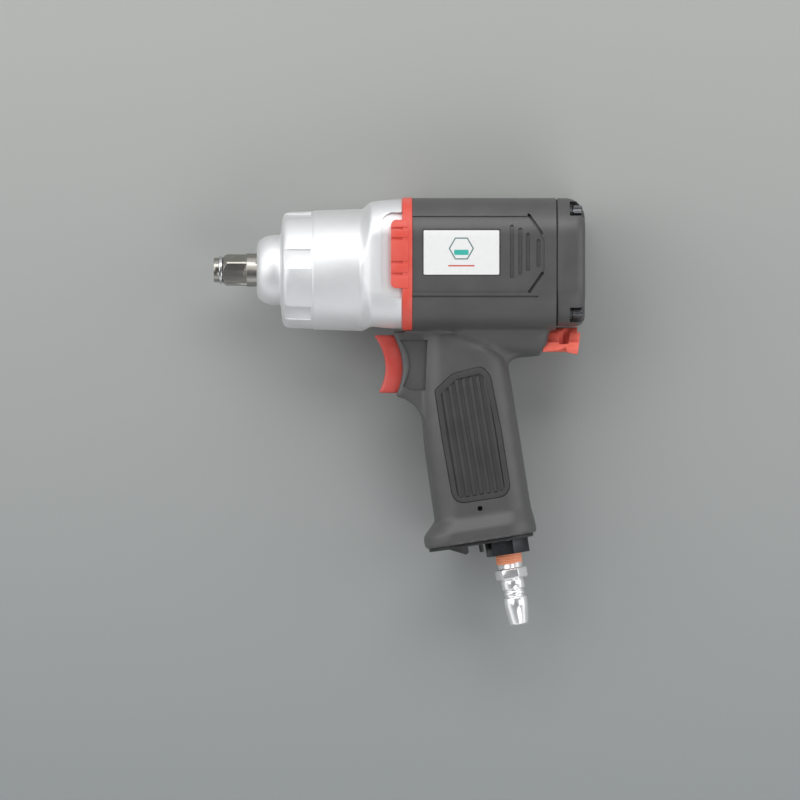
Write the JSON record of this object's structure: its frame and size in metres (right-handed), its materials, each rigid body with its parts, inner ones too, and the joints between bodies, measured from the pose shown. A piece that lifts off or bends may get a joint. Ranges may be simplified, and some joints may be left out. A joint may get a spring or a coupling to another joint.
{
  "type": "impact wrench",
  "caption": "Pneumatic impact wrench with a square drive, pistol grip, trigger, reverse lever and an air coupler plug under the handle.",
  "frame": {"origin": "centre of the drive square's front face", "axes": "-X along the drive axis, the way the square points; +Y to the top of the tool, the handle hanging down along -Y; +Z to the tool's left side, which faces up as it lies"},
  "size_m": [0.185, 0.2137, 0.0666],
  "materials": {
    "composite": "fine matt texture",
    "case_silver": "satin silver coat",
    "red_plastic": "semi-matt",
    "drive_steel": "hardened and oiled",
    "machined_steel": "machined",
    "black_steel": "black oxide",
    "chrome_plate": "bright plate",
    "sintered_bronze": "oiled",
    "cast_grey": "machined casting",
    "black_rubber": "soft",
    "gasket_sheet": "sheet",
    "felt": "pressed felt",
    "phenolic": "smooth",
    "white_label": "glossy film",
    "orange_sealant": "cured sealant",
    "wire_mesh": "mesh"
  },
  "bodies": {
    "housing": {"hammer_case": "case_silver", "nose_bushing": "sintered_bronze", "nose_seal": "black_rubber", "collar_ring": "red_plastic", "front_end_plate": "cast_grey", "cylinder": "cast_grey", "rear_end_plate": "cast_grey", "cylinder_dowel": "machined_steel", "front_bearing_outer_race": "machined_steel", "rear_bearing_outer_race": "machined_steel", "motor_housing": "composite", "name_label": "white_label", "rod_bushing": "sintered_bronze", "rod_seal": "black_rubber", "throttle_seat": "cast_grey", "throttle_spring": "machined_steel", "spring_seat": "machined_steel", "inlet_screen": "wire_mesh", "inlet_bushing": "black_steel", "inlet_seal": "black_rubber", "lock_pin": "black_steel", "coupler_plug": "chrome_plate", "thread_seal": "orange_sealant", "exhaust_deflector": "composite", "muffler_felt": "felt", "end_cap": "composite", "cap_gasket": "gasket_sheet", "housing_bolts": "black_steel", "lock_washers": "black_steel", "valve_sleeve": "sintered_bronze", "detent_ball": "machined_steel", "detent_spring": "machined_steel", "detent_screw": "black_steel"},
    "drive": {"anvil": "drive_steel", "friction_ring": "machined_steel", "ring_cushion": "black_rubber"},
    "rotor_group": {"rotor": "machined_steel", "vanes": "phenolic", "hammer_cage": "drive_steel", "hammer_pins": "machined_steel", "front_bearing_inner_race": "machined_steel", "rear_bearing_inner_race": "machined_steel"},
    "front_hammer_body": {"front_hammer": "drive_steel"},
    "rear_hammer_body": {"rear_hammer": "drive_steel"},
    "front_balls": {"front_bearing_balls": "machined_steel"},
    "rear_balls": {"rear_bearing_balls": "machined_steel"},
    "trigger_group": {"trigger": "red_plastic", "trigger_rod": "machined_steel", "trigger_cross_pin": "machined_steel"},
    "valve_body": {"throttle_valve": "machined_steel"},
    "reverse_group": {"reverse_lever": "red_plastic", "reverse_valve": "machined_steel", "lever_screw": "black_steel"}
  },
  "joints": [
    {"name": "rotor_spin", "type": "hinge", "parent": "housing", "child": "rotor_group", "pos_m": [0, 0, 0], "axis": [1, 0, 0], "continuous": true},
    {"name": "drive_spin", "type": "hinge", "parent": "housing", "child": "drive", "pos_m": [0, 0, 0], "axis": [1, 0, 0], "continuous": true},
    {"name": "front_balls_spin", "type": "hinge", "parent": "housing", "child": "front_balls", "pos_m": [0.10365, 0, 0], "axis": [1, 0, 0], "continuous": true},
    {"name": "rear_balls_spin", "type": "hinge", "parent": "housing", "child": "rear_balls", "pos_m": [0.16165, 0, 0], "axis": [1, 0, 0], "continuous": true},
    {"name": "front_hammer_swing", "type": "hinge", "parent": "rotor_group", "child": "front_hammer_body", "pos_m": [0.0551, 0.0184, 0], "axis": [1, 0, 0], "range_deg": [-5.5, 5.5]},
    {"name": "rear_hammer_swing", "type": "hinge", "parent": "rotor_group", "child": "rear_hammer_body", "pos_m": [0.0721, -0.0184, 0], "axis": [1, 0, 0], "range_deg": [-5.5, 5.5]},
    {"name": "trigger_slide", "type": "slide", "parent": "housing", "child": "trigger_group", "axis": [1, 0, 0], "range_m": [0, 0.006], "stiffness_N_per_m": 1500, "springref_m": -0.002},
    {"name": "valve_tilt", "type": "hinge", "parent": "housing", "child": "valve_body", "pos_m": [0.13094, -0.07805, 0], "axis": [0, 0, -1], "range_deg": [0, 10.4], "deforming": ["throttle_spring"]},
    {"name": "reverse_turn", "type": "hinge", "parent": "housing", "child": "reverse_group", "pos_m": [0.16705, -0.0348, 0], "axis": [1, 0, 0], "range_deg": [-28, 28]}
  ],
  "couplings": [
    {"joint": "drive_spin", "follows": "rotor_spin", "ratio": 1},
    {"joint": "front_balls_spin", "follows": "rotor_spin", "ratio": 0.4056},
    {"joint": "rear_balls_spin", "follows": "rotor_spin", "ratio": 0.4056},
    {"joint": "valve_tilt", "follows": "trigger_slide", "rad_per_m": 29.5}
  ]
}
